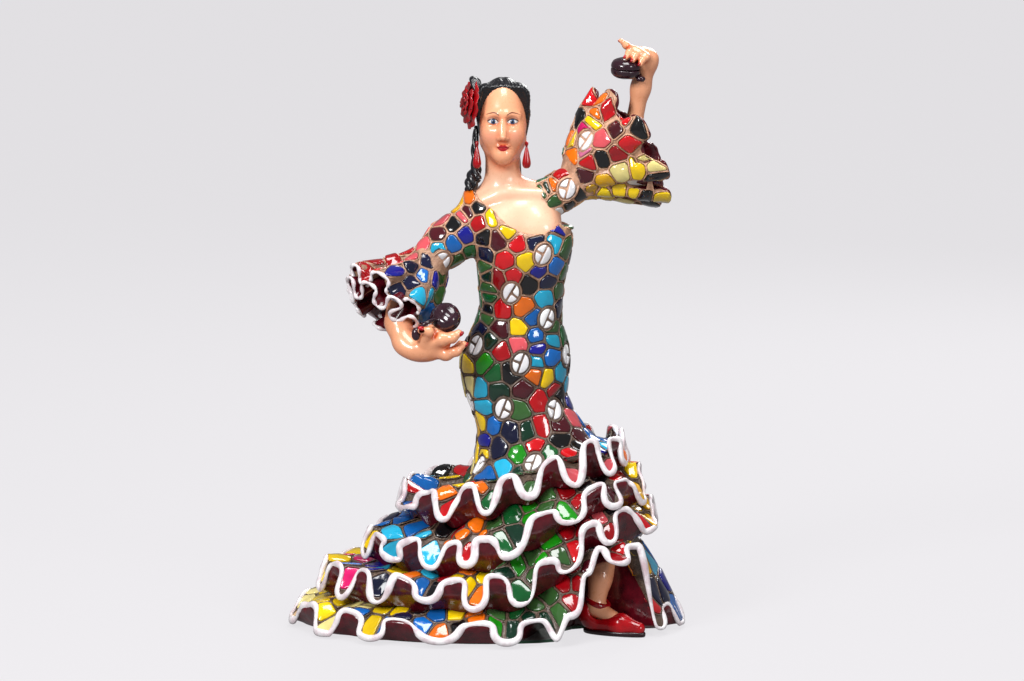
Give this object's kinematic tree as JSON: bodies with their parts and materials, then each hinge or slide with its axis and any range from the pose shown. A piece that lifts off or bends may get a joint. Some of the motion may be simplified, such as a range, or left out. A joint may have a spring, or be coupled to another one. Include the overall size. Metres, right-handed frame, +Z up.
{
  "type": "souvenir figurine",
  "caption": "Painted resin figurine of a flamenco dancer with castanets, one arm raised, in a mosaic dress whose tiered flounced train forms the base.",
  "frame": {"origin": "on the shelf, under the middle of the skirt hem's footprint", "axes": "+Z up, the dancer faces -Y, +X towards the raised arm, which is on the right when the figurine is seen from the front"},
  "size_m": [0.133, 0.09, 0.1971],
  "materials": {
    "skin_enamel": "painted and varnished polyresin",
    "mosaic_enamel": "moulded mosaic relief with many-coloured glossy enamel on a brown grout, mean colour",
    "maroon_enamel": "glossy dark burgundy enamel on polyresin",
    "black_enamel": "glossy black enamel on polyresin",
    "red_enamel": "glossy red enamel on polyresin",
    "plum_enamel": "glossy plum-black enamel on polyresin",
    "steel": "plain dowel wire, glued in",
    "green_felt": "self-adhesive felt"
  },
  "bodies": {
    "root": {"base_felt": "green_felt", "dress_body": "mosaic_enamel", "skirt_flounce_1": "maroon_enamel", "skirt_flounce_2": "maroon_enamel", "skirt_flounce_3": "maroon_enamel", "skirt_flounce_4": "maroon_enamel", "bust": "skin_enamel", "hair": "black_enamel", "hair_bun": "black_enamel", "braid": "black_enamel", "hair_comb": "black_enamel", "rose": "red_enamel", "earring_left": "red_enamel", "earring_right": "red_enamel", "raised_sleeve": "mosaic_enamel", "raised_flounce_outer": "mosaic_enamel", "raised_flounce_inner": "mosaic_enamel", "raised_forearm": "skin_enamel", "raised_castanet_upper": "plum_enamel", "raised_castanet_lower": "plum_enamel", "raised_castanet_cord": "plum_enamel", "lowered_sleeve": "mosaic_enamel", "lowered_flounce_outer": "mosaic_enamel", "lowered_flounce_inner": "maroon_enamel", "lowered_forearm": "skin_enamel", "lowered_castanet_upper": "plum_enamel", "lowered_castanet_lower": "plum_enamel", "lowered_castanet_cord": "plum_enamel", "leg": "skin_enamel", "shoe": "red_enamel", "shoe_sole": "black_enamel", "torso_pin": "steel", "raised_arm_pin": "steel", "lowered_arm_pin": "steel"}
  },
  "joints": []
}
